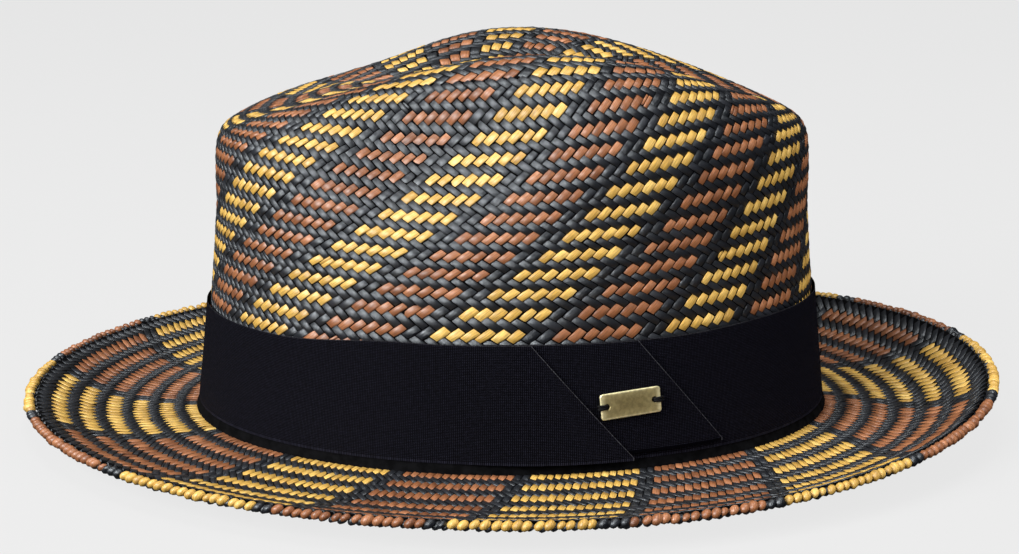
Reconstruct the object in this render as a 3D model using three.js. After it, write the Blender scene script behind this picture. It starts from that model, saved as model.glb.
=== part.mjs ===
import * as THREE from 'three';

// A straw fedora. Millimetres, +Z up, resting on Z = 0 by the flat inner part of its brim.
// The front is towards -Y and the wearer's left towards +X. Angles round the hat run from the
// front towards the wearer's left.

// Crown, measured outside the straw
const crownLength = 202;
const crownWidth = 167;
const crownHeight = 118.5;
const strawWall = 2;

// Brim, measured over its plaited edge
const brimLength = 313.4;
const brimWidth = 291.2;
const brimBend = 1.2;
const brimFlat = 21;
const sideCurl = 5.4;
const frontCurl = 6.8;
const backCurl = 14.2;
const plaitWidth = 3.6;
const plaitHeight = 3.2;

// Ribbon band, with its slanted lap on the wearer's left
const ribbonHeight = 35.4;
const ribbonThickness = 1;
const lapAngle = 106;
const lapSlant = 30.8;
const tuckWidth = 32.2;
const tuckRaise = 2;
const hiddenLap = 14;
const lapRamp = 34;

// Metal plate on the tuck
const plateLength = 18.6;
const plateHeight = 7.6;
const plateThickness = 0.8;
const plateCorner = 0.7;
const plateBevel = 0.2;
const plateHole = 1.8;
const holeInset = 1.9;
const plateTilt = 4;
const plateRaise = 0.7;
const plateMargin = 1;

// Gap between pieces that touch
const clearance = 0.3;

// Steps used to facet the curved walls
const stepsRound = 60;
const plaitSides = 8;

// Rings of the crown from its tip to the brim. length and width are shares of half the crown's
// length and width, rise and the two falls are shares of its height above the bend, and taper
// narrows the front (negative) or the back (positive).
const crownRings = [
  { at: 0.0, length: 0.0, width: 0.0, rise: 0.845, frontFall: 0.0, backFall: 0.0, taper: 0.0 },
  { at: 0.1, length: 0.16, width: 0.1, rise: 0.86, frontFall: 0.01, backFall: 0.01, taper: 0.0 },
  { at: 0.22, length: 0.36, width: 0.25, rise: 0.922, frontFall: 0.041, backFall: 0.052, taper: 0.0 },
  { at: 0.34, length: 0.57, width: 0.42, rise: 0.984, frontFall: 0.114, backFall: 0.109, taper: -0.06 },
  { at: 0.44, length: 0.73, width: 0.57, rise: 1.0, frontFall: 0.176, backFall: 0.15, taper: -0.06 },
  { at: 0.53, length: 0.865, width: 0.73, rise: 0.948, frontFall: 0.155, backFall: 0.135, taper: -0.04 },
  { at: 0.61, length: 0.925, width: 0.835, rise: 0.814, frontFall: 0.062, backFall: 0.052, taper: -0.02 },
  { at: 0.74, length: 0.94, width: 0.9, rise: 0.534, frontFall: 0.0, backFall: 0.0, taper: 0.0 },
  { at: 0.87, length: 0.965, width: 0.955, rise: 0.281, frontFall: 0.0, backFall: 0.0, taper: 0.0 },
  { at: 1.0, length: 1.0, width: 1.0, rise: 0.0, frontFall: 0.0, backFall: 0.0, taper: 0.0 },
];

// Finger pinches, one row for both sides. ahead and along are shares of half the crown's length,
// depth and inner of half its width, and height, up and drop of its whole height.
const pinches = [
  { ahead: 0.34, height: 0.84, depth: 0.204, along: 0.317, up: 0.186, drop: 0.042, inner: 0.35 },
];

// Where the facet rows lie: shares down the crown, degrees round the bend, shares across the brim
const topRows = [0.05, 0.1, 0.16, 0.22, 0.28, 0.34, 0.39, 0.44, 0.485, 0.53, 0.57];
const wallRows = [0.61, 0.67, 0.74, 0.87, 1];
const bendRows = [45, 90];
const brimRows = [0.2, 0.4, 0.55, 0.7, 0.85, 1];
const ribbonRows = [0, 0.34, 0.67, 1];

const halfLength = crownLength / 2;
const halfWidth = crownWidth / 2;
const brimTop = strawWall;
const bendTop = brimTop + brimBend;
const crownRise = crownHeight - bendTop;
const edgeWidth = plaitWidth + clearance;
const flatShare = (brimFlat - brimBend) / (brimLength / 2 - edgeWidth - halfLength - brimBend);

const radians = THREE.MathUtils.degToRad;

// A smooth curve through one column of a table, read at a place between its rows.
function readColumn(table, column, at) {
  const last = table.length - 1;
  let i = 0;
  while (i < last - 1 && at > table[i + 1].at) {
    i += 1;
  }
  const chord = (k) => (table[k + 1][column] - table[k][column]) / (table[k + 1].at - table[k].at);
  const slope = (k) => {
    if (k === 0) {
      return chord(0);
    }
    if (k === last) {
      return chord(last - 1);
    }
    const before = table[k].at - table[k - 1].at;
    const after = table[k + 1].at - table[k].at;
    return (after * chord(k - 1) + before * chord(k)) / (before + after);
  };
  const span = table[i + 1].at - table[i].at;
  const t = (at - table[i].at) / span;
  const t2 = t * t;
  const t3 = t2 * t;
  const fromStart = (2 * t3 - 3 * t2 + 1) * table[i][column] + (t3 - 2 * t2 + t) * span * slope(i);
  const fromEnd = (3 * t2 - 2 * t3) * table[i + 1][column] + (t3 - t2) * span * slope(i + 1);
  return fromStart + fromEnd;
}

// Presses the finger pinches into a point of the crown.
function pinch(point) {
  for (const dent of pinches) {
    const along = (point.y + dent.ahead * halfLength) / (dent.along * halfLength);
    const up = (point.z - dent.height * crownHeight) / (dent.up * crownHeight);
    const side = THREE.MathUtils.smoothstep(Math.abs(point.x), 0, dent.inner * halfWidth);
    const press = Math.exp(-along * along - up * up) * side;
    point.x -= Math.sign(point.x) * dent.depth * halfWidth * press;
    point.z -= dent.drop * crownHeight * press;
  }
  return point;
}

// A point outside the crown: angle round the hat, and at = 0 at the tip to 1 above the bend.
function crownPoint(angle, at) {
  const ring = (column) => readColumn(crownRings, column, at);
  const ahead = Math.cos(angle);
  const fall = ahead > 0 ? ring('frontFall') : ring('backFall');
  const x = halfWidth * ring('width') * Math.sin(angle) * (1 + ring('taper') * ahead);
  const y = -halfLength * ring('length') * ahead;
  const z = bendTop + crownRise * (ring('rise') - fall * ahead * ahead);
  return pinch(new THREE.Vector3(x, y, z));
}

// A point on an oval that lies a distance outside the foot of the crown.
function ovalPoint(angle, outLength, outWidth, z) {
  const x = (halfWidth + outWidth) * Math.sin(angle);
  const y = -(halfLength + outLength) * Math.cos(angle);
  return new THREE.Vector3(x, y, z);
}

// A point of the small bend between crown and brim: turn = 0 at the crown to 90 on the brim.
function bendPoint(angle, turn) {
  const out = brimBend * (1 - Math.cos(radians(turn)));
  return ovalPoint(angle, out, out, bendTop - brimBend * Math.sin(radians(turn)));
}

// How far the rim stands above the flat part of the brim.
function curl(angle) {
  const ahead = Math.cos(angle);
  const end = ahead > 0 ? frontCurl : backCurl;
  return sideCurl + (end - sideCurl) * ahead * ahead;
}

// A point on top of the brim: share = 0 at the bend to 1 at the edge that the plait closes.
function brimPoint(angle, share) {
  const outLength = brimBend + share * (brimLength / 2 - edgeWidth - halfLength - brimBend);
  const outWidth = brimBend + share * (brimWidth / 2 - edgeWidth - halfWidth - brimBend);
  const climb = Math.max(0, (share - flatShare) / (1 - flatShare));
  return ovalPoint(angle, outLength, outWidth, brimTop + curl(angle) * climb * climb);
}

// The outward normal of a surface that is given as a function of an angle and a place. The place
// counts outwards from the tip of the crown.
function outward(surface, angle, place, low, high) {
  const small = 0.001;
  const after = surface(angle, Math.min(place + small, high));
  const across = after.sub(surface(angle, Math.max(place - small, low)));
  const round = surface(angle + small, place).sub(surface(angle - small, place));
  return across.cross(round).normalize();
}

// The inner side of the straw wall. Under the brim it lies straight below the top, so that the
// brim's edge is upright.
function insidePoint(surface, point, normal) {
  if (surface === brimPoint) {
    return point.clone().setZ(point.z - strawWall / normal.z);
  }
  return point.clone().addScaledVector(normal, -strawWall);
}

// The straw wall as one list of rows, each with its outer and its inner side.
function strawRows() {
  const kinds = [
    { surface: crownPoint, places: [...topRows, ...wallRows], low: 0, high: 1 },
    { surface: bendPoint, places: bendRows, low: 0, high: 90 },
    { surface: brimPoint, places: brimRows, low: 0, high: 1 },
  ];
  const rows = [];
  for (const { surface, places, low, high } of kinds) {
    for (const place of places) {
      const outer = [];
      const inner = [];
      for (let i = 0; i < stepsRound; i += 1) {
        const angle = (2 * Math.PI * i) / stepsRound;
        const point = surface(angle, place);
        const normal = outward(surface, angle, place, low, high);
        outer.push(point);
        inner.push(insidePoint(surface, point, normal));
      }
      rows.push({ outer, inner });
    }
  }
  return rows;
}

// Turns points and triangles into a geometry.
function solid(points, triangles) {
  const geometry = new THREE.BufferGeometry();
  geometry.setFromPoints(points);
  geometry.setIndex(triangles);
  geometry.computeVertexNormals();
  return geometry;
}

// A closed body from loops of points, one inside the next, with a point at either end.
function loopBody(first, loops, last) {
  const count = loops[0].length;
  const points = [first, ...loops.flat(), last];
  const end = points.length - 1;
  const triangles = [];
  for (let i = 0; i < count; i += 1) {
    const next = (i + 1) % count;
    triangles.push(0, 1 + i, 1 + next);
    for (let k = 0; k < loops.length - 1; k += 1) {
      const here = 1 + k * count;
      const there = here + count;
      triangles.push(here + i, there + i, there + next);
      triangles.push(here + i, there + next, here + next);
    }
    const edge = end - count;
    triangles.push(edge + i, end, edge + next);
  }
  return solid(points, triangles);
}

// A closed ring from sections that follow each other round the hat.
function ringBody(sections) {
  const count = sections.length;
  const sides = sections[0].length;
  const triangles = [];
  for (let i = 0; i < count; i += 1) {
    for (let k = 0; k < sides; k += 1) {
      const a = i * sides + k;
      const b = i * sides + ((k + 1) % sides);
      const c = ((i + 1) % count) * sides + ((k + 1) % sides);
      const d = ((i + 1) % count) * sides + k;
      triangles.push(a, c, b, a, d, c);
    }
  }
  return solid(sections.flat(), triangles);
}

// A closed sheet from an inner and an outer grid of points, rows of columns.
function sheetBody(inner, outer) {
  const rows = inner.length;
  const columns = inner[0].length;
  const points = [...inner.flat(), ...outer.flat()];
  const start = rows * columns;
  const triangles = [];
  const quad = (a, b, c, d) => triangles.push(a, b, c, a, c, d);
  const at = (i, k) => i * columns + k;
  for (let i = 0; i < rows - 1; i += 1) {
    for (let k = 0; k < columns - 1; k += 1) {
      quad(at(i, k), at(i, k + 1), at(i + 1, k + 1), at(i + 1, k));
      quad(start + at(i, k), start + at(i + 1, k), start + at(i + 1, k + 1), start + at(i, k + 1));
    }
    quad(at(i, 0), at(i + 1, 0), start + at(i + 1, 0), start + at(i, 0));
    const top = columns - 1;
    quad(at(i, top), start + at(i, top), start + at(i + 1, top), at(i + 1, top));
  }
  for (let k = 0; k < columns - 1; k += 1) {
    quad(at(0, k), start + at(0, k), start + at(0, k + 1), at(0, k + 1));
    const end = rows - 1;
    quad(at(end, k), at(end, k + 1), start + at(end, k + 1), start + at(end, k));
  }
  return solid(points, triangles);
}

// The crown's place whose wall is at a height, found by halving.
function placeAtHeight(height) {
  let low = wallRows[0];
  let high = 1;
  for (let i = 0; i < 30; i += 1) {
    const middle = (low + high) / 2;
    if (crownPoint(Math.PI / 2, middle).z > height) {
      low = middle;
    } else {
      high = middle;
    }
  }
  return (low + high) / 2;
}

// A point a distance outside the crown wall, with the wall's normal there.
function offCrown(angle, height, distance) {
  const place = placeAtHeight(height);
  const normal = outward(crownPoint, angle, place, 0, 1);
  const point = crownPoint(angle, place).addScaledVector(normal, distance);
  return { point, normal };
}

// Degrees of angle that a length along the ribbon takes at the lap.
const lapTurn = radians(lapAngle);
const lapRadius = Math.hypot(halfWidth * Math.cos(lapTurn), halfLength * Math.sin(lapTurn));
const turnOf = (length) => length / lapRadius;

const ribbonFoot = bendTop;
const layer = (number) => clearance + number * (ribbonThickness + clearance);

// A ribbon piece on the crown whose ends are cut on the slant. It runs from one angle to another,
// both taken at half height, and offset gives its distance from the crown.
function ribbon(from, to, foot, top, offset) {
  const steps = Math.max(4, Math.round(((to - from) * stepsRound) / (2 * Math.PI)));
  const middle = ribbonFoot + ribbonHeight / 2;
  const inner = [];
  const outer = [];
  for (let i = 0; i <= steps; i += 1) {
    const turn = from + ((to - from) * i) / steps;
    const innerRow = [];
    const outerRow = [];
    for (const share of ribbonRows) {
      const height = foot + share * (top - foot);
      const angle = turn - (turnOf(lapSlant) * (height - middle)) / ribbonHeight;
      const distance = offset(turn);
      innerRow.push(offCrown(angle, height, distance).point);
      outerRow.push(offCrown(angle, height, distance + ribbonThickness).point);
    }
    inner.push(innerRow);
    outer.push(outerRow);
  }
  return sheetBody(inner, outer);
}

const bandEnd = lapTurn - turnOf(tuckWidth / 2);
const tuckEnd = lapTurn + turnOf(tuckWidth / 2);
const tuckStart = bandEnd - turnOf(hiddenLap);

// Crown and brim, one woven straw shell.
function strawBody() {
  const rows = strawRows();
  const tip = crownPoint(0, 0);
  const innerTip = tip.clone().setZ(tip.z - strawWall);
  const loops = rows.map((row) => row.outer);
  loops.push(...rows.map((row) => row.inner).reverse());
  return loopBody(tip, loops, innerTip);
}

// The plaited edge of the brim, an oval bead just outside the straw.
function rimPlait() {
  const sections = [];
  for (let i = 0; i < stepsRound; i += 1) {
    const angle = (2 * Math.PI * i) / stepsRound;
    const height = brimTop - strawWall / 2 + curl(angle);
    const section = [];
    for (let k = 0; k < plaitSides; k += 1) {
      const turn = (2 * Math.PI * (k + 0.5)) / plaitSides;
      const out = (plaitWidth / 2) * (Math.cos(turn) / Math.cos(Math.PI / plaitSides) - 1);
      const up = (plaitHeight / 2) * (Math.sin(turn) / Math.cos(Math.PI / plaitSides));
      const outLength = brimLength / 2 - halfLength + out;
      const outWidth = brimWidth / 2 - halfWidth + out;
      section.push(ovalPoint(angle, outLength, outWidth, height + up));
    }
    sections.push(section);
  }
  return ringBody(sections);
}

// The ribbon once round the crown. It starts under the tuck and ends on top of it.
function bandRibbon() {
  const start = tuckStart;
  const end = bandEnd + 2 * Math.PI;
  const rampEnd = tuckStart - turnOf(hiddenLap / 2) + 2 * Math.PI;
  const rampStart = rampEnd - turnOf(lapRamp);
  const offset = (turn) => {
    const climb = THREE.MathUtils.smoothstep(turn, rampStart, rampEnd);
    return layer(0) + climb * (layer(2) - layer(0));
  };
  return ribbon(start, end, ribbonFoot, ribbonFoot + ribbonHeight, offset);
}

// The slanted piece between the two layers of the ribbon.
function bandTuck() {
  return ribbon(tuckStart, tuckEnd, ribbonFoot + tuckRaise, ribbonFoot + ribbonHeight, () => layer(1));
}

// The plate's outline with rounded corners and a hole near each end.
function plateShape() {
  const x = plateLength / 2 - plateBevel;
  const y = plateHeight / 2 - plateBevel;
  const r = plateCorner;
  const shape = new THREE.Shape();
  shape.absarc(x - r, y - r, r, 0, Math.PI / 2);
  shape.absarc(r - x, y - r, r, Math.PI / 2, Math.PI);
  shape.absarc(r - x, r - y, r, Math.PI, 1.5 * Math.PI);
  shape.absarc(x - r, r - y, r, 1.5 * Math.PI, 2 * Math.PI);
  shape.closePath();
  for (const side of [-1, 1]) {
    const hole = new THREE.Path();
    hole.absarc(side * (plateLength / 2 - holeInset), 0, plateHole / 2 + plateBevel, 0, 2 * Math.PI, true);
    shape.holes.push(hole);
  }
  return shape;
}

// The metal plate, flat, turned a little, just beside the slanted end of the ribbon.
function placePlate(mesh) {
  const height = ribbonFoot + ribbonHeight / 2 + plateRaise;
  const tilt = radians(plateTilt);
  const reach = (plateLength / 2) * Math.cos(tilt) - (plateHeight / 2) * Math.sin(tilt);
  const lower = (plateLength / 2) * Math.sin(tilt) + (plateHeight / 2) * Math.cos(tilt);
  const slant = lapSlant / ribbonHeight;
  const along = reach + slant * (lower - plateRaise) + plateMargin * Math.hypot(1, slant);
  const angle = bandEnd + turnOf(along);
  const { point, normal } = offCrown(angle, height, layer(2));
  const round = new THREE.Vector3(Math.cos(angle) * halfWidth, Math.sin(angle) * halfLength, 0);
  const right = round.addScaledVector(normal, -round.dot(normal)).normalize();
  const up = normal.clone().cross(right);
  mesh.position.copy(point);
  mesh.quaternion.setFromRotationMatrix(new THREE.Matrix4().makeBasis(right, up, normal));
  mesh.rotateZ(tilt);
}

function plate() {
  const geometry = new THREE.ExtrudeGeometry(plateShape(), {
    depth: plateThickness - 2 * plateBevel,
    bevelEnabled: true,
    bevelThickness: plateBevel,
    bevelSize: plateBevel,
    bevelSegments: 1,
    curveSegments: 4,
  });
  geometry.translate(0, 0, plateBevel);
  return geometry;
}

const straw = new THREE.MeshStandardMaterial({ color: 0x7d6646, roughness: 0.6, metalness: 0 });
const plaitStraw = new THREE.MeshStandardMaterial({ color: 0x6a4f35, roughness: 0.55, metalness: 0 });
const ribbonCloth = new THREE.MeshStandardMaterial({ color: 0x0c0d12, roughness: 0.75, metalness: 0 });
const brass = new THREE.MeshStandardMaterial({ color: 0x8f7446, roughness: 0.4, metalness: 1 });

function named(name, geometry, material) {
  const mesh = new THREE.Mesh(geometry, material);
  mesh.name = name;
  return mesh;
}

const hat = new THREE.Group();
hat.add(named('straw_body', strawBody(), straw));
hat.add(named('rim_plait', rimPlait(), plaitStraw));
hat.add(named('band', bandRibbon(), ribbonCloth));
hat.add(named('band_tuck', bandTuck(), ribbonCloth));
const platePiece = named('band_plate', plate(), brass);
placePlate(platePiece);
hat.add(platePiece);

export default hat;
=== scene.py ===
# %% [markdown]
# # A straw fedora, dressed
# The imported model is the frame: the crown and brim as one shell, the plaited edge, the two
# pieces of ribbon and the small metal plate. This lesson loads it and lays the real surface over
# it: several thousand separate straws, woven on the diagonal, a ribbed ribbon and aged brass.
# Loading comes first, because every later size is measured against the frame.

# %% Load the frame
import math
import bmesh
import bpy
import numpy as np
from mathutils import Matrix, Vector


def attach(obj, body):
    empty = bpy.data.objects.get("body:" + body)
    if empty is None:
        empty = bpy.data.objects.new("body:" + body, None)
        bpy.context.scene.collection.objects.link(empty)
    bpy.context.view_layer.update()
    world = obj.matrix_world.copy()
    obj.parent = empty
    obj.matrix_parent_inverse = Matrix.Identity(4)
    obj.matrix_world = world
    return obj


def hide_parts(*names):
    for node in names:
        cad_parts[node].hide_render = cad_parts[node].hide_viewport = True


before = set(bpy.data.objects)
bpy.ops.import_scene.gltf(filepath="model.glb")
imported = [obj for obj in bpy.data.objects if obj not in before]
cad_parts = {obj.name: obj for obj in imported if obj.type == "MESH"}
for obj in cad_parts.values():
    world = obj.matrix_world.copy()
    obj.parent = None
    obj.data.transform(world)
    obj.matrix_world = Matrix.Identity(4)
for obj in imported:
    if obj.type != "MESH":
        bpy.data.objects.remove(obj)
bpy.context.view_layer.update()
MM = 0.001
print("nodes:", sorted(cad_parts))

# %% [markdown]
# ## Camera
# The hat is seen from its left side, its front to the left of the picture, from a little
# above the brim. A long lens far away would flatten the brim into a line. This one stands 64 cm
# away, so the near side of the brim drops below the far side as it does on the real hat.

# %% Set up the camera
CAMERA_DISTANCE = 0.640
CAMERA_AZIMUTH = math.radians(84)
CAMERA_HEIGHT_ANGLE = math.radians(12.7)
CAMERA_ROLL = math.radians(0.33)
LENS_PIXELS = 1965
PICTURE_WIDTH = 1019
SENSOR_WIDTH = 36
AIM_RIGHT, AIM_UP = -0.0012, 0.0413


def place_camera():
    a, e = CAMERA_AZIMUTH, CAMERA_HEIGHT_ANGLE
    back = Vector((math.sin(a) * math.cos(e), -math.cos(a) * math.cos(e), math.sin(e)))
    right = Vector((math.cos(a), math.sin(a), 0))
    up = back.cross(right)
    rolled_right = right * math.cos(CAMERA_ROLL) + up * math.sin(CAMERA_ROLL)
    rolled_up = up * math.cos(CAMERA_ROLL) - right * math.sin(CAMERA_ROLL)
    target = right * AIM_RIGHT + Vector((0, 0, AIM_UP))
    data = bpy.data.cameras.new("camera")
    data.sensor_width = SENSOR_WIDTH
    data.lens = LENS_PIXELS * data.sensor_width / PICTURE_WIDTH
    camera = bpy.data.objects.new("camera", data)
    axes = Matrix((rolled_right, rolled_up, back)).transposed()
    camera.matrix_world = Matrix.Translation(target + back * CAMERA_DISTANCE) @ axes.to_4x4()
    bpy.context.scene.collection.objects.link(camera)
    bpy.context.scene.camera = camera
    return camera


camera = place_camera()
print("lens in mm:", round(camera.data.lens, 1))

# %% [markdown]
# ## Two ways to say where a straw lies
# The crown and the brim are the same curved surfaces as the frame's, so that each straw lies on
# the solid that carries it. The crown is a table of ovals from the tip down to the brim, joined
# by a smooth curve, with a finger pinch pressed into each side of the front. The brim is an oval
# that grows outwards and curls up towards its rim. Both are written for arrays, because many
# thousands of points will be asked for at once.

# %% Sizes of the hat, in millimetres
HALF_LENGTH = 101.0
HALF_WIDTH = 83.5
CROWN_HEIGHT = 118.5
STRAW_WALL = 2.0
BRIM_HALF_LENGTH = 156.7
BRIM_HALF_WIDTH = 145.6
BRIM_BEND = 1.2
BRIM_FLAT = 21.0
SIDE_CURL, FRONT_CURL, BACK_CURL = 6.6, 6.8, 14.2
EDGE_WIDTH = 3.9
RIBBON_HEIGHT = 35.4
BEND_TOP = STRAW_WALL + BRIM_BEND
CROWN_RISE = CROWN_HEIGHT - BEND_TOP
FLAT_SHARE = (BRIM_FLAT - BRIM_BEND) / (BRIM_HALF_LENGTH - EDGE_WIDTH - HALF_LENGTH - BRIM_BEND)

# The columns are: place, length, width, rise, front fall, back fall, taper
CROWN_RINGS = np.array([
    (0.00, 0.000, 0.000, 0.845, 0.000, 0.000, 0.00),
    (0.10, 0.160, 0.100, 0.860, 0.010, 0.010, 0.00),
    (0.22, 0.360, 0.250, 0.922, 0.041, 0.052, 0.00),
    (0.34, 0.570, 0.420, 0.984, 0.114, 0.109, -0.06),
    (0.44, 0.730, 0.570, 1.000, 0.176, 0.150, -0.06),
    (0.53, 0.865, 0.730, 0.948, 0.155, 0.135, -0.04),
    (0.61, 0.925, 0.835, 0.814, 0.062, 0.052, -0.02),
    (0.74, 0.940, 0.900, 0.534, 0.000, 0.000, 0.00),
    (0.87, 0.965, 0.955, 0.281, 0.000, 0.000, 0.00),
    (1.00, 1.000, 1.000, 0.000, 0.000, 0.000, 0.00),
])
LENGTH, WIDTH, RISE, FRONT_FALL, BACK_FALL, TAPER = range(1, 7)
PINCH = {"ahead": 0.34, "height": 0.84, "depth": 0.204, "along": 0.317,
         "up": 0.186, "drop": 0.042, "inner": 0.35}


def read_rings(column, place):
    """A smooth curve through one column of the rings, read between its rows."""
    at = CROWN_RINGS[:, 0]
    value = CROWN_RINGS[:, column]
    gap = np.diff(at)
    chord = np.diff(value) / gap
    inner = (gap[1:] * chord[:-1] + gap[:-1] * chord[1:]) / (gap[1:] + gap[:-1])
    slope = np.concatenate([chord[:1], inner, chord[-1:]])
    i = np.clip(np.searchsorted(at, place, side="right") - 1, 0, len(gap) - 1)
    t = (place - at[i]) / gap[i]
    start = (2 * t**3 - 3 * t**2 + 1) * value[i] + (t**3 - 2 * t**2 + t) * gap[i] * slope[i]
    end = (3 * t**2 - 2 * t**3) * value[i + 1] + (t**3 - t**2) * gap[i] * slope[i + 1]
    return start + end


def smooth_step(x, low, high):
    t = np.clip((x - low) / (high - low), 0, 1)
    return t * t * (3 - 2 * t)


def crown_point(angle, place):
    """Points on the crown: angle from the front, place 0 at the tip to 1 above the brim."""
    ahead = np.cos(angle)
    fall = np.where(ahead > 0, read_rings(FRONT_FALL, place), read_rings(BACK_FALL, place))
    x = HALF_WIDTH * read_rings(WIDTH, place) * np.sin(angle) * (1 + read_rings(TAPER, place) * ahead)
    y = -HALF_LENGTH * read_rings(LENGTH, place) * ahead
    z = BEND_TOP + CROWN_RISE * (read_rings(RISE, place) - fall * ahead**2)
    along = (y + PINCH["ahead"] * HALF_LENGTH) / (PINCH["along"] * HALF_LENGTH)
    up = (z - PINCH["height"] * CROWN_HEIGHT) / (PINCH["up"] * CROWN_HEIGHT)
    press = np.exp(-along**2 - up**2) * smooth_step(np.abs(x), 0, PINCH["inner"] * HALF_WIDTH)
    x = x - np.sign(x) * PINCH["depth"] * HALF_WIDTH * press
    z = z - PINCH["drop"] * CROWN_HEIGHT * press
    return np.stack([x, y, z], axis=-1)


def curl(angle):
    ahead = np.cos(angle)
    end = np.where(ahead > 0, FRONT_CURL, BACK_CURL)
    return SIDE_CURL + (end - SIDE_CURL) * ahead**2


def oval_point(angle, out_length, out_width, z):
    x = (HALF_WIDTH + out_width) * np.sin(angle)
    y = -(HALF_LENGTH + out_length) * np.cos(angle)
    return np.stack([x, y, z + 0 * x], axis=-1)


def brim_point(angle, share):
    """Points on top of the brim: share 0 beside the crown to 1 at the plaited edge."""
    out_length = BRIM_BEND + share * (BRIM_HALF_LENGTH - EDGE_WIDTH - HALF_LENGTH - BRIM_BEND)
    out_width = BRIM_BEND + share * (BRIM_HALF_WIDTH - EDGE_WIDTH - HALF_WIDTH - BRIM_BEND)
    climb = np.clip((share - FLAT_SHARE) / (1 - FLAT_SHARE), 0, None)
    return oval_point(angle, out_length, out_width, STRAW_WALL + curl(angle) * climb**2)


def outward(surface, angle, place):
    """Unit normals that point out of the hat, from small steps along the surface."""
    step = 0.002
    across = surface(angle, place + step) - surface(angle, place - step)
    around = surface(angle + step, place) - surface(angle - step, place)
    normal = np.cross(across, around)
    size = np.linalg.norm(normal, axis=-1, keepdims=True)
    return normal / np.maximum(size, 1e-9)


print("top of the crown in mm:", crown_point(np.array([math.pi / 2]), np.array([0.44]))[0].round(1))

# %% [markdown]
# ## Where the strands of the weave run
# A hat like this is woven from the middle of the crown outwards. Two families of strands cross
# on the diagonal, and each strand passes over two and under two of the others, which is a twill.
# So the surface shows short flat pieces of straw, called floats here. A float of the first
# family rises to the right, and the coloured strands are in this family. Between two rows of
# these lies a row of black floats that fall to the right.
# Every strand of the first family has a number, and every row has a number too. Two small
# formulas turn those into an angle and a place on the crown. They follow the real hat: the
# strands lean forwards as they climb, and the rows sag a little at the sides.

# %% Lattice of the crown
CROWN_STRANDS = 144
FIRST_STRAND = -21.29
LEAN_PER_ROW = -1.79
CROWDING, CROWDING_PER_ROW = 0.1237, -0.0226
CROWDED_ROWS = (-2, 10)
TOP_ROW = 13
TIP_ROW = 23
# Where row k lies on the crown, as powers of k: at the sides, and what is added at both ends
# and in front. Below row 0 the rows are one step apart.
SIDE_ROWS = (0.84482, -0.02988, 0.00145, -0.00009)
END_ROWS = (-0.01572, 0.00206, -0.00079)
FRONT_ROWS = (-0.00057, 0.00135)
LOW_ROW_STEP = 0.0245

angle_steps = np.linspace(-2 * math.pi, 4 * math.pi, 6001)


def oval_share_table(out_length, out_width):
    """How much of an oval's length, counted from the front, lies before each angle."""
    points = oval_point(angle_steps, out_length, out_width, 0.0)
    run = np.concatenate([[0], np.cumsum(np.linalg.norm(np.diff(points, axis=0), axis=1))])
    run = run - np.interp(0, angle_steps, run)
    return run * 3 / (run[-1] - run[0])


def angle_of_strand(strand, row, strands, first, lean, crowding, table, swing=(0.0, 0.0)):
    """Solves strand = strands * (share + crowding) + first + lean * row + swing for the angle."""
    whole = (strand - first - lean * row) / strands
    share = whole.copy()
    for _ in range(16):
        turn = 2 * math.pi * share
        drift = (swing[0] * np.sin(turn) + swing[1] * np.cos(turn)) / strands
        share = whole - crowding * np.sin(2 * turn) / (4 * math.pi) - drift
    return np.interp(share, table, angle_steps)


foot_table = oval_share_table(0.0, 0.0)


def crown_place(row, angle):
    """The place of a row on the crown. Above the top row, the rows close in on the tip."""
    k = np.clip(row, 0, TOP_ROW)
    ahead = np.cos(angle)
    side, end, front = [np.polyval(powers[::-1], k) for powers in (SIDE_ROWS, END_ROWS, FRONT_ROWS)]
    place = side + end * ahead**2 + front * ahead
    rest = np.clip((TIP_ROW - row) / (TIP_ROW - TOP_ROW), 0, 1)
    return np.where(row > TOP_ROW, place * rest, place - LOW_ROW_STEP * np.minimum(row, 0))


def crown_lattice(strand, row):
    crowding = CROWDING + CROWDING_PER_ROW * np.clip(row, *CROWDED_ROWS)
    angle = angle_of_strand(strand, row, CROWN_STRANDS, FIRST_STRAND, LEAN_PER_ROW, crowding, foot_table)
    return angle, np.clip(crown_place(row, angle), 0.004, 1.0)


test = crown_lattice(np.array([0.0, 16.0]), np.array([0.0, 8.0]))
print("angles in degrees:", np.degrees(test[0]).round(1), "places:", test[1].round(3))

# %% [markdown]
# ## Lattice of the brim
# Below the ribbon strands have been added, so that the brim has twice as many. The colours
# repeat nine times round the hat here as well. The rows lie further apart, and the blocks of
# colour lean towards the front as they go outwards. The swing is a slow wave once round the hat,
# by a few strands, because the real strands aren't spread evenly between front and back.

# %% Lattice of the brim
BRIM_STRANDS = 288
BRIM_FIRST = -73.526
BRIM_LEAN = 1.408
BRIM_SWING = (1.332, 5.424)
BRIM_CROWDING, BRIM_CROWDING_PER_ROW = -0.0084, -0.0357
BRIM_ROW_START = 0.035
BRIM_ROW_STEP = 0.165
INNERMOST, OUTERMOST = -0.05, 1.01

brim_table = oval_share_table(26.0, 29.0)


def brim_lattice(strand, row):
    crowding = BRIM_CROWDING + BRIM_CROWDING_PER_ROW * row
    angle = angle_of_strand(strand, row, BRIM_STRANDS, BRIM_FIRST, BRIM_LEAN, crowding, brim_table,
                            BRIM_SWING)
    share = BRIM_ROW_START + BRIM_ROW_STEP * (row - 1)
    return angle, np.clip(share, INNERMOST, OUTERMOST)


print("rows on the brim:", [round(BRIM_ROW_START + BRIM_ROW_STEP * k, 2) for k in range(6)])

# %% [markdown]
# ## One float of straw
# The shape that is repeated thousands of times is made once, with bmesh operators: a small grid
# gets a flat underside, and its points are drawn outwards, because the straw bends most near its
# border. It has fewer than twenty faces, because every one of them is multiplied by the number
# of floats.

# %% Make the float
DRAWN_OUT = 0.30


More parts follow.
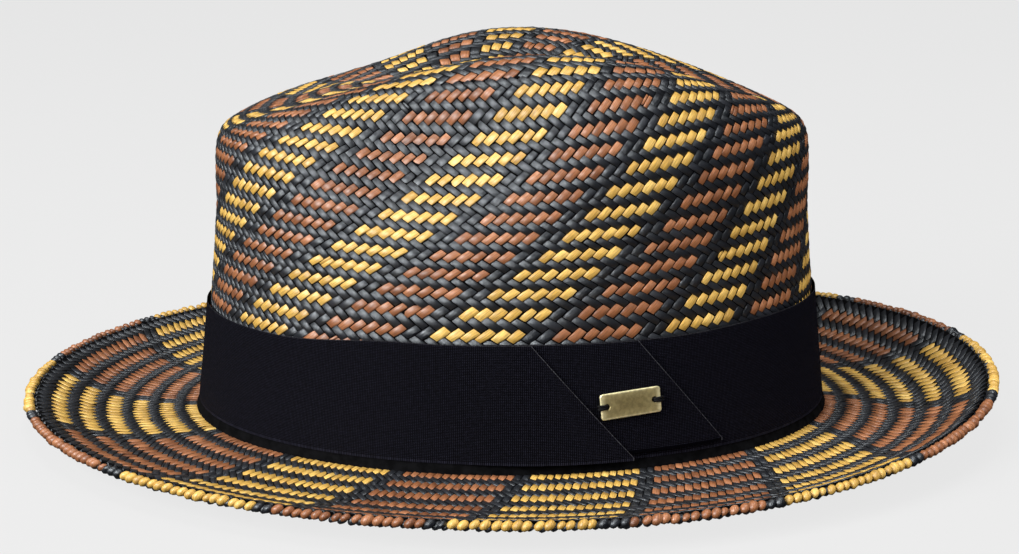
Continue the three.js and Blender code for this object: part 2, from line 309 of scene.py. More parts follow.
def make_float(along, across):
    """A closed strip of straw on the square from -1 to 1: its points and its faces."""
    mesh = bmesh.new()
    bmesh.ops.create_grid(mesh, x_segments=along, y_segments=across, size=1)
    edge = [e for e in mesh.edges if e.is_boundary]
    bmesh.ops.holes_fill(mesh, edges=edge, sides=0)
    bmesh.ops.recalc_face_normals(mesh, faces=mesh.faces)
    mesh.verts.ensure_lookup_table()
    points = np.array([v.co[:2] for v in mesh.verts])
    points = np.sign(points) * np.abs(points) ** DRAWN_OUT
    faces = [[v.index for v in f.verts] for f in mesh.faces]
    top = [f for f in mesh.faces if len(f.verts) == 4]
    if sum(f.normal.z for f in top) < 0:
        faces = [f[::-1] for f in faces]
    mesh.free()
    return points, faces


fine_float = make_float(4, 4)
plain_float = make_float(3, 2)
print("faces in a fine float:", len(fine_float[1]), "in a plain one:", len(plain_float[1]))

# %% [markdown]
# ## Laying the floats
# In numbers of strands and rows the twill is perfectly regular: each float is a small slanted
# tile, and the tiles of the two families fill the surface. This helper takes all tiles of one
# family, gives each a little irregularity, and maps the points of the float onto the hat. The
# middle of a float is arched, and its ends dip so that they vanish below the strands that cross
# them. Some straws are split lengthwise, as on the real hat, and no two are the same width.

# %% Helper that weaves
CROWN_TILES = {
    "rising": {"along": (0.0, 0.25), "across": (0.5, -0.125), "shift": 0.0},
    "falling": {"along": (-1.0, 0.25), "across": (0.0, -0.125), "shift": 0.5},
}
BRIM_TILES = {
    "rising": {"along": (0.0, 0.25), "across": (0.5, 0.125), "shift": 0.0},
    "falling": {"along": (1.0, 0.25), "across": (0.0, -0.125), "shift": 0.5},
}
SPLIT_SHARE = 0.010
TAPER_OF_FLOAT = 0.04
CREASE = 12
FIBRES_ALONG, FIBRES_ACROSS = 2.4, 1.2
FIBRE_FIELD = 900
random = np.random.default_rng(11)


def irregular(count, split_share):
    """Small differences between floats: width, shift, lift and lean, one row for each float."""
    width = random.normal(0.965, 0.05, count).clip(0.82, 1.06)
    centre = random.normal(0, 0.03, count)
    split = random.random(count) < split_share
    return {
        "width": np.where(split, width * 0.60, width),
        "centre": np.where(split, centre + 0.38, centre),
        "length": random.normal(1.14, 0.04, count).clip(1.02, 1.26),
        "lift": random.normal(0, 0.035, count).clip(-0.09, 0.09),
        "lean": random.normal(0, 0.04, count).clip(-0.09, 0.09),
        "turn": random.normal(0, 0.035, count),
        "split": split,
    }


def lay_floats(template, tiles, family, step, lattice, surface, arch, side):
    """Points for a list of tiles (strand, row), in millimetres, with a UV for each point."""
    points, faces = template
    strand, row = tiles
    odd = irregular(len(strand), SPLIT_SHARE)
    halves = np.flatnonzero(odd["split"])
    strand = np.concatenate([strand, strand[halves]])
    row = np.concatenate([row, row[halves]])
    odd = {k: np.concatenate([v, v[halves]]) for k, v in odd.items()}
    odd["centre"][len(strand) - len(halves):] -= 0.98
    odd["width"][len(strand) - len(halves):] *= 0.62
    odd["lift"][len(strand) - len(halves):] -= 0.10
    a = points[None, :, 0] * odd["length"][:, None]
    b = points[None, :, 1] * odd["width"][:, None] * (1 - TAPER_OF_FLOAT * points[None, :, 0] ** 2)
    b = b + odd["centre"][:, None] + odd["turn"][:, None] * a
    n = strand[:, None] + step * (a * family["along"][0] + b * family["across"][0])
    k = row[:, None] + a * family["along"][1] + b * family["across"][1]
    angle, place = lattice(n, k)
    normal = outward(surface, angle, place)
    edge = np.abs(points[None, :, 1])
    end = np.abs(points[None, :, 0])
    height = arch["base"] + arch["rise"] * (1 - end**2)
    height = height - arch["dip"] * end**CREASE - arch["edge"] * edge**CREASE
    height = height + odd["lift"][:, None] + odd["lean"][:, None] * points[None, :, 1]
    place_on = surface(angle, place) + normal * (side * height)[..., None]
    uv = np.stack([a * FIBRES_ALONG + random.random(len(strand))[:, None] * FIBRE_FIELD,
                   b * FIBRES_ACROSS + random.random(len(strand))[:, None] * FIBRE_FIELD], axis=-1)
    return place_on, uv


def tiles_of(strands, rows, shift):
    n, k = np.meshgrid(np.arange(strands), np.array(rows, float), indexing="ij")
    return n.ravel() + shift, k.ravel() + shift


print("half size of a rising float in strands and rows:", CROWN_TILES["rising"])

# %% [markdown]
# ## From floats to pieces
# One object for each straw would be thousands of objects. The floats of one colour become one
# mesh instead, made from arrays. The fibres of the straw follow each float, so each piece gets a
# UV map whose first direction runs along the straw, with a random start that makes every straw
# different.

# %% Helpers that join the floats and finish a piece
WEAVE_COLOURS = ("yellow", "brown", "black")
WEAVE_PIECES = WEAVE_COLOURS + ("cross",)


def show(name, mesh, material):
    piece = bpy.data.objects.new(name, mesh)
    bpy.context.scene.collection.objects.link(piece)
    mesh.materials.append(material)
    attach(piece, "root")
    return piece


def join_floats(name, batches, material):
    """One mesh from batches of (points, uv, faces of the template, whether turned over)."""
    all_points, all_uv, loops, sizes = [], [], [], []
    start = 0
    for points, uv, faces, over in batches:
        count, each = points.shape[:2]
        order = [f[::-1] if over else f for f in faces]
        flat = np.array([i for f in order for i in f])
        offsets = start + np.arange(count)[:, None] * each
        loops.append((offsets + flat[None, :]).ravel())
        sizes.append(np.tile([len(f) for f in order], count))
        all_points.append(points.reshape(-1, 3) * MM)
        all_uv.append(uv.reshape(-1, 2))
        start += count * each
    points = np.concatenate(all_points)
    loops = np.concatenate(loops)
    sizes = np.concatenate(sizes)
    uv = np.concatenate(all_uv)
    mesh = bpy.data.meshes.new(name)
    mesh.vertices.add(len(points))
    mesh.vertices.foreach_set("co", points.ravel())
    mesh.loops.add(len(loops))
    mesh.loops.foreach_set("vertex_index", loops)
    mesh.polygons.add(len(sizes))
    mesh.polygons.foreach_set("loop_start", np.concatenate([[0], np.cumsum(sizes)[:-1]]))
    mesh.polygons.foreach_set("use_smooth", sizes < 5)
    mesh.update(calc_edges=True)
    layer = mesh.uv_layers.new(name="straw")
    layer.data.foreach_set("uv", uv[loops].ravel())
    triangles = int((sizes - 2).sum())
    print(name, "triangles:", triangles)
    return show(name, mesh, material)


# %% [markdown]
# ## Straw
# The straw is a flat strip of palm leaf: smooth, a little glossy, with fine fibres along it. The
# natural straw is a warm yellow, the brown and the black are dyed. One helper makes all three.
# Noise that is stretched along the UV map draws the fibres, slower noise makes one straw lighter
# than the next, and both move the colour and the bump.

# %% Straw materials
def add_node(tree, kind, **values):
    node = tree.nodes.new(kind)
    for key, value in values.items():
        if hasattr(node, key) and key not in node.inputs:
            setattr(node, key, value)
        else:
            node.inputs[key].default_value = value
    return node


def ramp(tree, factor, stops):
    node = tree.nodes.new("ShaderNodeValToRGB")
    while len(node.color_ramp.elements) < len(stops):
        node.color_ramp.elements.new(0.5)
    for element, (position, colour) in zip(node.color_ramp.elements, stops):
        element.position = position
        element.color = (*colour, 1)
    tree.links.new(factor, node.inputs["Fac"])
    return node.outputs["Color"]


def new_material(name, **values):
    material = bpy.data.materials.new(name)
    material.use_nodes = True
    tree = material.node_tree
    shader = tree.nodes["Principled BSDF"]
    for key, value in values.items():
        shader.inputs[key.replace("_", " ")].default_value = value
    return material, tree, shader


def mix_colour(tree, factor, first, second, mode="MIX"):
    node = tree.nodes.new("ShaderNodeMix")
    node.data_type = "RGBA"
    node.blend_type = mode
    sockets = (node.inputs["Factor"], node.inputs["A"], node.inputs["B"])
    for socket, value in zip(sockets, (factor, first, second)):
        if isinstance(value, bpy.types.NodeSocket):
            tree.links.new(value, socket)
        else:
            socket.default_value = value
    return node.outputs["Result"]


def straw_material(name, deep, middle, light, roughness, fibre_bump, **values):
    """Dyed or plain straw. The three colours are linear values from dark to light."""
    material, tree, shader = new_material(name, **values)
    uv = add_node(tree, "ShaderNodeUVMap", uv_map="straw")
    fine = add_node(tree, "ShaderNodeMapping", Scale=(0.28, 3.8, 1.0))
    slow = add_node(tree, "ShaderNodeMapping", Scale=(0.09, 0.09, 1.0))
    tree.links.new(uv.outputs["UV"], fine.inputs["Vector"])
    tree.links.new(uv.outputs["UV"], slow.inputs["Vector"])
    fibre = add_node(tree, "ShaderNodeTexNoise", Scale=1.0, Detail=3.0, Roughness=0.6)
    tone = add_node(tree, "ShaderNodeTexNoise", Scale=1.0, Detail=1.0, Roughness=0.5)
    tree.links.new(fine.outputs["Vector"], fibre.inputs["Vector"])
    tree.links.new(slow.outputs["Vector"], tone.inputs["Vector"])
    base = ramp(tree, tone.outputs["Fac"], [(0.30, deep), (0.50, middle), (0.70, light)])
    streak = ramp(tree, fibre.outputs["Fac"], [(0.36, (0.60, 0.60, 0.60)), (0.60, (1.10, 1.10, 1.10))])
    tree.links.new(mix_colour(tree, 1.0, base, streak, "MULTIPLY"), shader.inputs["Base Color"])
    low, high = [(value, value, value) for value in roughness]
    tree.links.new(ramp(tree, fibre.outputs["Fac"], [(0.35, high), (0.65, low)]), shader.inputs["Roughness"])
    bump = add_node(tree, "ShaderNodeBump", Strength=fibre_bump, Distance=0.0002)
    tree.links.new(fibre.outputs["Fac"], bump.inputs["Height"])
    tree.links.new(bump.outputs["Normal"], shader.inputs["Normal"])
    return material


DARK_TO_LIGHT = {
    "yellow": ((0.44, 0.25, 0.050), (0.60, 0.36, 0.075), (0.75, 0.49, 0.13)),
    "brown": ((0.16, 0.056, 0.022), (0.27, 0.100, 0.038), (0.39, 0.160, 0.070)),
    "black": ((0.003, 0.003, 0.005), (0.006, 0.007, 0.010), (0.014, 0.015, 0.020)),
}
straw = {}
for name in ("yellow", "brown"):
    straw[name] = straw_material("straw_" + name, *DARK_TO_LIGHT[name], (0.34, 0.52), 0.6,
                                 Specular_IOR_Level=0.75)
straw["black"] = straw_material("straw_black", *DARK_TO_LIGHT["black"], (0.33, 0.52), 1.0,
                                IOR=1.62, Specular_IOR_Level=0.80, Specular_Tint=(0.90, 0.96, 1.0, 1))
straw["cross"] = straw["black"]
print("straw materials:", sorted(straw))

# %% [markdown]
# ## Weaving the crown and the brim
# The strands go round in a repeat of sixteen: six brown, two black, six yellow and two black,
# and twice as many of each on the brim. The falling strands are black all round. On top of the
# crown the rings get smaller, so there are fewer strands in them, and the floats keep their
# size. The inside of the crown and the underside of the brim show the same weave, made with the
# plainer float.

# %% Weave
OUTER_ARCH = {"base": 0.05, "rise": 0.18, "dip": 0.75, "edge": 0.24}
UNDER_ARCH = {"base": 0.0, "rise": 0.22, "dip": 0.5, "edge": 0.25}

COLOUR_REPEATS = 9
WIDE_REPEAT = 32

# The columns are: strands round, first row, last row
CROWN_ZONES = [
    (144, -7, 12),
    (108, 13, 15),
    (72, 16, 18),
    (36, 19, 21),
    (18, 22, 22),
]


def colour_of(strand, repeat):
    """The name of the colour of each strand of the rising family."""
    wide = repeat == WIDE_REPEAT
    step = np.mod(np.round(strand) + (16 if wide else 0), repeat) * 16 / repeat
    names = np.full(len(strand), "black", dtype="U6")
    names[step < (7 if wide else 6)] = "brown"
    names[(step >= 8) & (step < (15 if wide else 14))] = "yellow"
    return names


def weave(template, zones, strands, lattice, surface, arch, side, families, keep=None):
    """Batches of floats for each colour. keep says which tiles are wanted, by angle and place."""
    batches = {}
    for count, first, last in zones:
        step = strands / count
        rows = range(first, last + 1)
        for direction, family in families.items():
            n, k = tiles_of(count, rows, family["shift"])
            if keep:
                wanted = keep(*lattice(n * step, k))
                n, k = n[wanted], k[wanted]
            names = colour_of(n, count // COLOUR_REPEATS)
            if direction == "falling":
                names = np.full(len(n), "cross")
            for name in WEAVE_PIECES:
                chosen = names == name
                if chosen.any():
                    tiles = (n[chosen] * step, k[chosen])
                    laid = lay_floats(template, tiles, family, step, lattice, surface, arch, side)
                    batches.setdefault(name, []).append((*laid, template[1], side < 0))
    return batches


BAND_TOP = BEND_TOP + RIBBON_HEIGHT
UNDER_BAND = 7


def above_band(angle, place):
    return crown_point(angle, place)[:, 2] > BAND_TOP - UNDER_BAND


def on_brim(angle, share):
    return share > INNERMOST - 0.0001


brim_zones = [(BRIM_STRANDS, 0, 6)]
crown_outside = weave(fine_float, CROWN_ZONES, CROWN_STRANDS, crown_lattice, crown_point, OUTER_ARCH, 1,
                      CROWN_TILES, above_band)
brim_outside = weave(fine_float, brim_zones, BRIM_STRANDS, brim_lattice, brim_point, OUTER_ARCH, 1,
                     BRIM_TILES, on_brim)
for name in WEAVE_PIECES:
    join_floats("crown_weave_" + name, crown_outside[name], straw[name])
    join_floats("brim_weave_" + name, brim_outside[name], straw[name])


# %% [markdown]
# ## Underside and lining side
# Inside the crown and under the brim the same strands show again. The surface is the same one,
# moved inwards by the thickness of the straw, and the floats are turned over.

# %% Weave the inner side
INNER_DEPTH = STRAW_WALL - 0.4


def inner_crown_point(angle, place):
    return crown_point(angle, place) - outward(crown_point, angle, place) * INNER_DEPTH


def inner_brim_point(angle, share):
    return brim_point(angle, share) - outward(brim_point, angle, share) * INNER_DEPTH


crown_inside = weave(plain_float, CROWN_ZONES, CROWN_STRANDS, crown_lattice, inner_crown_point,
                     UNDER_ARCH, -1, CROWN_TILES)
brim_inside = weave(plain_float, brim_zones, BRIM_STRANDS, brim_lattice, inner_brim_point, UNDER_ARCH, -1,
                    BRIM_TILES, on_brim)
for name in WEAVE_PIECES:
    join_floats("crown_lining_" + name, crown_inside[name], straw[name])
    join_floats("brim_underside_" + name, brim_inside[name], straw[name])

# %% [markdown]
# ## Ground of the weave
# Between two floats the eye meets the strands that pass below, in deep shade. Modelling all
# of these would double the number of faces for something that is never seen clearly, so a closed
# near-black shell lies in the middle of the straw's thickness instead: its colour is painted shade.
# It starts as a flat grid. One direction of the grid is wrapped round the hat, the other runs from
# the tip of the crown to the edge of the brim. Its seam is merged, the tip is closed, and the sheet
# is thickened inwards.

# %% Make the ground
GROUND_DEPTH, GROUND_WALL = 0.75, 0.7
CROWN_PART = 0.74


def mapped_grid(steps, rows, surface):
    """A grid laid on a surface that is given in millimetres for two shares, and those shares."""
    mesh = bmesh.new()
    bmesh.ops.create_grid(mesh, x_segments=steps, y_segments=rows, size=1)
    mesh.verts.ensure_lookup_table()
    mesh.verts.index_update()
    shares = np.array([v.co[:2] for v in mesh.verts]) / 2 + 0.5
    for vert, point in zip(mesh.verts, surface(shares[:, 0], shares[:, 1])):
        vert.co = Vector(point) * MM
    return mesh, shares


def ground_surface(turn, run):
    """The middle of the straw: run goes down the crown first, then out along the brim."""
    angle = turn * 2 * math.pi
    place = 0.02 + 0.98 * np.clip(run / CROWN_PART, 0, 1)
    share = 0.995 * np.clip((run - CROWN_PART) / (1 - CROWN_PART), 0, 1)
    crown = crown_point(angle, place) - outward(crown_point, angle, place) * GROUND_DEPTH
    brim = brim_point(angle, share) - outward(brim_point, angle, share) * GROUND_DEPTH
    return np.where((run <= CROWN_PART)[:, None], crown, brim)


def make_ground():
    mesh, _ = mapped_grid(240, 62, ground_surface)
    bmesh.ops.remove_doubles(mesh, verts=mesh.verts, dist=0.01 * MM)
    tip = [e for e in mesh.edges if e.is_boundary and e.verts[0].co.to_2d().length < 0.03]
    bmesh.ops.holes_fill(mesh, edges=tip, sides=0)
    bmesh.ops.recalc_face_normals(mesh, faces=mesh.faces)
    if sum(f.normal.z for f in mesh.faces) < 0:
        bmesh.ops.reverse_faces(mesh, faces=mesh.faces)
    bmesh.ops.solidify(mesh, geom=mesh.faces[:], thickness=-GROUND_WALL * MM)
    for face in mesh.faces:
        face.smooth = True
    print("longest edge of the ground in mm:", round(max(e.calc_length() for e in mesh.edges) / MM, 1))
    data = bpy.data.meshes.new("weave_ground")
    mesh.to_mesh(data)
    mesh.free()
    return data


def ground_material():
    material, tree, shader = new_material("straw_shadow", Roughness=0.95, Specular_IOR_Level=0.05)
    place = add_node(tree, "ShaderNodeTexCoord")
    noise = add_node(tree, "ShaderNodeTexNoise", Scale=420.0, Detail=2.0)
    tree.links.new(place.outputs["Object"], noise.inputs["Vector"])
    # Near black all over: painted shade for the strands that lie in shadow below and between the floats.
    stops = [(0.35, (0.0010, 0.0010, 0.0012)), (0.65, (0.003, 0.003, 0.0035))]
    colour = ramp(tree, noise.outputs["Fac"], stops)
    tree.links.new(colour, shader.inputs["Base Color"])
    return material


ground = show("weave_ground", make_ground(), ground_material())
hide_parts("straw_body")
print("faces in the ground:", len(ground.data.polygons))

# %% [markdown]
# ## Plaited edge
# The strands end in a plait that is turned over the rim. From the side it looks like a string of
# rounded beads, from above like short slanted stitches. The beads are slightly slanted and coloured
# in the same blocks as the brim. A second row of small black beads lies lower and further in, and
# gives the plait its dark underside.

# %% Make the plaited edge
PLAIT_BEADS = 336
PLAIT_WIDTH, PLAIT_HEIGHT = 3.2, 2.6
PLAIT_LEAN = 0.45
PLAIT_RISE = 0.35
BEAD_PITCH = 2.83
LOWER_ROW = {"small": 0.85, "inwards": 0.65, "lower": 0.65}


def rim_centre(angle):
    out = -PLAIT_WIDTH / 2
    height = STRAW_WALL / 2 + curl(angle) + PLAIT_RISE
    return oval_point(angle, BRIM_HALF_LENGTH - HALF_LENGTH + out, BRIM_HALF_WIDTH - HALF_WIDTH + out, height)


rim_table = oval_share_table(BRIM_HALF_LENGTH - HALF_LENGTH, BRIM_HALF_WIDTH - HALF_WIDTH)


def rim_axes(angle):
    """Directions at the rim: along it, straight out, and up."""
    along = rim_centre(angle + 0.002) - rim_centre(angle - 0.002)
    along = along / np.linalg.norm(along, axis=-1, keepdims=True)
    out = np.cross(along, np.broadcast_to([0.0, 0.0, 1.0], along.shape))
    out = out / np.linalg.norm(out, axis=-1, keepdims=True)
    return along, out, np.cross(out, along)


def make_bead():
    """A closed bead on the unit sphere, from a few rings."""
    mesh = bmesh.new()
    bmesh.ops.create_uvsphere(mesh, u_segments=10, v_segments=6, radius=1)
    mesh.verts.ensure_lookup_table()
    points = np.array([v.co[:] for v in mesh.verts])
    faces = [[v.index for v in f.verts] for f in mesh.faces]
    mesh.free()
    return points, faces


bead_points, bead_faces = make_bead()


def lay_beads(numbers, small, inwards, lower):
    """Beads round the rim. The bead's own Z runs along the rim."""
    numbers = np.asarray(numbers, float)
    count = len(numbers)
    size = small * random.normal(1.0, 0.09, count).clip(0.80, 1.16)
    share = (numbers + random.normal(0, 0.09, count)) / PLAIT_BEADS
    angle = np.interp(share, rim_table, angle_steps)[:, None]
    x, y, z = bead_points.T
    turned = y[None, :] * PLAIT_HEIGHT / 2 * size[:, None]
    outer = x[None, :] * PLAIT_WIDTH / 2 * size[:, None]
    round_share = 1 + 0.12 * (1 - np.abs(z))
    down_rim = z[None, :] * BEAD_PITCH * 0.52 * size[:, None] + PLAIT_LEAN * (y - 0.5 * x)[None, :]
    along, out, up = rim_axes(angle + 0 * turned)
    inwards = inwards + random.normal(0, 0.10, count)[:, None, None]
    lower = lower + random.normal(0, 0.10, count)[:, None, None]
    centre = rim_centre(angle + 0 * turned) - out * inwards - up * lower
    place = centre + along * down_rim[..., None]
    place = place + out * (outer * round_share * 0.94)[..., None] + up * (turned * round_share)[..., None]
    uv = np.stack([y[None, :] * 2 + random.random(count)[:, None] * FIBRE_FIELD,
                   z[None, :] * FIBRES_ACROSS + random.random(count)[:, None] * FIBRE_FIELD], axis=-1)
    return place, uv


RIM_LEAN = -1.45
RIM_ROW = 6.6


def rim_colours():
    share = np.arange(PLAIT_BEADS) / PLAIT_BEADS
    angle = np.interp(share, rim_table, angle_steps)
    trial = np.linspace(-400, 400, 6401)
    at, _ = brim_lattice(trial, np.full(len(trial), RIM_ROW))
    order = np.argsort(at)
    strand = np.interp(angle, at[order], trial[order]) - RIM_LEAN
    return colour_of(strand, WIDE_REPEAT)


rim_names = rim_colours()
for name in WEAVE_COLOURS:
    chosen = np.flatnonzero(rim_names == name)
    batches = [(*lay_beads(chosen, 1.0, 0.0, 0.0), bead_faces, False)]
    if name == "black":
        lower_row = lay_beads(np.arange(PLAIT_BEADS) + 0.5, **LOWER_ROW)
        batches.append((*lower_row, bead_faces, False))
    join_floats("rim_plait_" + name, batches, straw[name])
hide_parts("rim_plait")

# %% [markdown]
# ## Ribbon
# A black ribbed ribbon lies once round the crown. On the hat's left its two ends are hidden
# by a slanted lap: a separate slanted piece lies over the start of the ribbon, and the end of the
# ribbon is cut on the same slant and lies over that. Each piece is a grid of points that stands
# a little off the crown, swept along the same slanted lines as the solids, and thickened.

# %% Make the ribbon
RIBBON_FOOT = BEND_TOP
RIBBON_LIFT = 1.6
RIBBON_THICKNESS = 1.0
LAP_ANGLE = math.radians(106)
LAP_SLANT = 30.8
TUCK_WIDTH = 32.2
TUCK_RAISE = 2.0
HIDDEN_LAP = 14.0
LAP_RAMP = 34.0
CLEARANCE = 0.3
lap_radius = math.hypot(HALF_WIDTH * math.cos(LAP_ANGLE), HALF_LENGTH * math.sin(LAP_ANGLE))
band_end = LAP_ANGLE - TUCK_WIDTH / 2 / lap_radius
tuck_end = LAP_ANGLE + TUCK_WIDTH / 2 / lap_radius
tuck_start = band_end - HIDDEN_LAP / lap_radius


def layer_offset(number):
    return CLEARANCE + number * (RIBBON_THICKNESS + CLEARANCE)


height_places = np.linspace(0.60, 1.0, 801)
height_table = crown_point(np.full(801, math.pi / 2), height_places)[:, 2]


def off_crown(angle, height, distance):
    """Points a distance outside the crown's wall at a height, and the wall's normals there."""
    place = np.interp(-height, -height_table, height_places)
    normal = outward(crown_point, angle, np.minimum(place, 0.997))
    return crown_point(angle, place) + normal * np.asarray(distance)[..., None], normal


def ribbon_drop(turn):
    """The ribbon sits a little lower in front than at the sides, and a little higher behind."""
    ahead = np.cos(turn)
    return 2.8 * smooth_step(ahead, 0.25, 0.72) - 1.2 * smooth_step(-ahead, 0.5, 0.9)


def ribbon_piece(name, start, end, foot, offset, steps, rows, material):
    """A slanted piece of ribbon: a mapped grid, thickened inwards, with its cut edges kept sharp."""
    def along_band(run, share):
        turn = start + run * (end - start)
        top = RIBBON_FOOT + RIBBON_HEIGHT - ribbon_drop(turn)
        height = foot + share * (top - foot)
        angle = turn - LAP_SLANT / lap_radius * (height - RIBBON_FOOT - RIBBON_HEIGHT / 2) / RIBBON_HEIGHT
        return turn, height, angle

    def surface(run, share):
        turn, height, angle = along_band(run, share)
        wave = 0.10 * np.sin(turn * 11.0) * np.sin(turn * 4.0 + 1) * share
        return off_crown(angle, height, offset(turn) + wave)[0]

    mesh, shares = mapped_grid(steps, rows, surface)
    turn, height, angle = along_band(shares[:, 0], shares[:, 1])
    cloth = mesh.loops.layers.uv.new("ribbon")
    cut = mesh.loops.layers.uv.new("cut")
    for face in mesh.faces:
        for loop in face.loops:
            k = loop.vert.index
            loop[cloth].uv = ((angle[k] - start) * lap_radius, height[k])
            loop[cut].uv = ((end - turn[k]) * lap_radius, (1 - shares[k, 1]) * RIBBON_HEIGHT)
    if sum(f.normal.dot(f.calc_center_median()) for f in mesh.faces) < 0:
        bmesh.ops.reverse_faces(mesh, faces=mesh.faces)
    bmesh.ops.solidify(mesh, geom=mesh.faces[:], thickness=-RIBBON_THICKNESS * 0.8 * MM)
    for face in mesh.faces:
        face.smooth = True
    for edge in mesh.edges:
        edge.smooth = edge.calc_face_angle(0) < 0.7
    data = bpy.data.meshes.new(name)
    mesh.to_mesh(data)
    mesh.free()
    print(name, "length in mm:", round((end - start) * lap_radius, 1), "faces:", len(data.polygons))
    return show(name, data, material)


# The scale at which a wave texture has one band for each unit of its map
BAND_EACH = 0.314


def ribbon_material():
    """Fine ribs across the ribbon with a row of tiny light threads on each. The colour is lighter on the
    crests and threads, where the bump is highest, as a painted highlight. The cut edge and the top edge get a
    pale dotted line, a painted highlight where the edges catch the light.
    """
    material, tree, shader = new_material("ribbon_black", Roughness=0.85, Specular_IOR_Level=0.05)
    uv = add_node(tree, "ShaderNodeUVMap", uv_map="ribbon")
    rib = add_node(tree, "ShaderNodeTexWave", Scale=BAND_EACH * 1.8, Distortion=0.5, Detail=1.0)
    rib.inputs["Detail Scale"].default_value = 2.0
    tree.links.new(uv.outputs["UV"], rib.inputs["Vector"])
    thread = add_node(tree, "ShaderNodeTexWave", Scale=BAND_EACH * 2.2, Distortion=2.0, bands_direction="Y")
    tree.links.new(uv.outputs["UV"], thread.inputs["Vector"])
    place = add_node(tree, "ShaderNodeTexNoise", Scale=0.9, Detail=3.0)
    tree.links.new(uv.outputs["UV"], place.inputs["Vector"])
    product = mix_colour(tree, 1.0, rib.outputs["Color"], thread.outputs["Color"], "MULTIPLY")
    # The colour follows the bump: crests light, troughs dark. This paints highlight and shade onto the ribs.
    colour = ramp(tree, product, [(0.15, (0.0003, 0.0003, 0.0012)), (0.80, (0.015, 0.015, 0.024))])
    dust = ramp(tree, place.outputs["Fac"], [(0.35, (0.65, 0.65, 0.65)), (0.7, (1.3, 1.3, 1.3))])
    weave_colour = mix_colour(tree, 1.0, colour, dust, "MULTIPLY")
    cut = add_node(tree, "ShaderNodeUVMap", uv_map="cut")
    side = add_node(tree, "ShaderNodeSeparateXYZ")
    tree.links.new(cut.outputs["UV"], side.inputs["Vector"])
    # Pale dotted lines along the cut edge and the top edge: painted highlight where the edges catch the
    # light.
    near_cut = ramp(tree, side.outputs["X"], [(0.05, (1, 1, 1)), (0.30, (0, 0, 0))])
    near_top = ramp(tree, side.outputs["Y"], [(0.05, (0.5, 0.5, 0.5)), (0.35, (0, 0, 0))])
    near = mix_colour(tree, 1.0, near_cut, near_top, "ADD")
    speck = add_node(tree, "ShaderNodeTexNoise", Scale=2.2, Detail=1.0)
    tree.links.new(cut.outputs["UV"], speck.inputs["Vector"])
    dots = ramp(tree, speck.outputs["Fac"], [(0.42, (0.25, 0.25, 0.25)), (0.60, (1, 1, 1))])
    edge_glint = mix_colour(tree, 1.0, near, dots, "MULTIPLY")
    final = mix_colour(tree, edge_glint, weave_colour, (0.085, 0.085, 0.095, 1))
    tree.links.new(final, shader.inputs["Base Color"])
    bump = add_node(tree, "ShaderNodeBump", Strength=0.8, Distance=0.00018)
    tree.links.new(product, bump.inputs["Height"])
    tree.links.new(bump.outputs["Normal"], shader.inputs["Normal"])
    return material


ramp_end = tuck_start - HIDDEN_LAP / 2 / lap_radius + 2 * math.pi
ramp_start = ramp_end - LAP_RAMP / lap_radius


def band_offset(turn):
    climb = smooth_step(turn, ramp_start, ramp_end)
    return RIBBON_THICKNESS * 0.9 + layer_offset(0) + climb * (layer_offset(2) - layer_offset(0))


def tuck_offset(turn):
    return RIBBON_THICKNESS * 0.9 + layer_offset(1) + 0 * turn


ribbon_cloth = ribbon_material()
band = ribbon_piece("ribbon_band", tuck_start, band_end + 2 * math.pi, RIBBON_FOOT + RIBBON_LIFT,
                    band_offset, 400, 14, ribbon_cloth)
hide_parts("band")
tuck = ribbon_piece("ribbon_tuck", tuck_start, tuck_end, RIBBON_FOOT + RIBBON_LIFT + TUCK_RAISE,
                    tuck_offset, 60, 14, ribbon_cloth)
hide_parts("band_tuck")

# %% [markdown]
# ## Metal plate
# The little plate is antique brass. It keeps its solid from the frame, with its bevel and its
# two holes, and gets a finish with a darker patina in the middle and a brighter border, which is
# partly worn brass and partly a painted highlight where the edges catch the light. Its face is left bare.

# %% Finish the plate
PLATE_LENGTH, PLATE_HEIGHT = 18.6, 7.6
HOLE_INSET = 1.9

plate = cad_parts["band_plate"]
corners = np.array([(plate.matrix_world @ v.co)[:] for v in plate.data.vertices]) / MM
plate_centre = (corners.min(axis=0) + corners.max(axis=0)) / 2
plate_axes = np.linalg.svd(corners - corners.mean(axis=0))[2]
plate_along = plate_axes[0] * np.sign(plate_axes[0][1])
plate_out = plate_axes[2] * np.sign(plate_axes[2][0])
plate_up = np.cross(plate_out, plate_along)


def plate_share(tree, axis, half):
    """How far a point of the plate lies from its middle along one axis: 0 there, 1 at the edge."""
    place = add_node(tree, "ShaderNodeTexCoord")
    shift = add_node(tree, "ShaderNodeVectorMath", operation="SUBTRACT")
    tree.links.new(place.outputs["Object"], shift.inputs[0])
    shift.inputs[1].default_value = Vector(plate_centre * MM)
    dot = add_node(tree, "ShaderNodeVectorMath", operation="DOT_PRODUCT")
    tree.links.new(shift.outputs["Vector"], dot.inputs[0])
    dot.inputs[1].default_value = Vector(axis / (half * MM))
    size = add_node(tree, "ShaderNodeMath", operation="ABSOLUTE")
    tree.links.new(dot.outputs["Value"], size.inputs[0])
    return size.outputs["Value"]


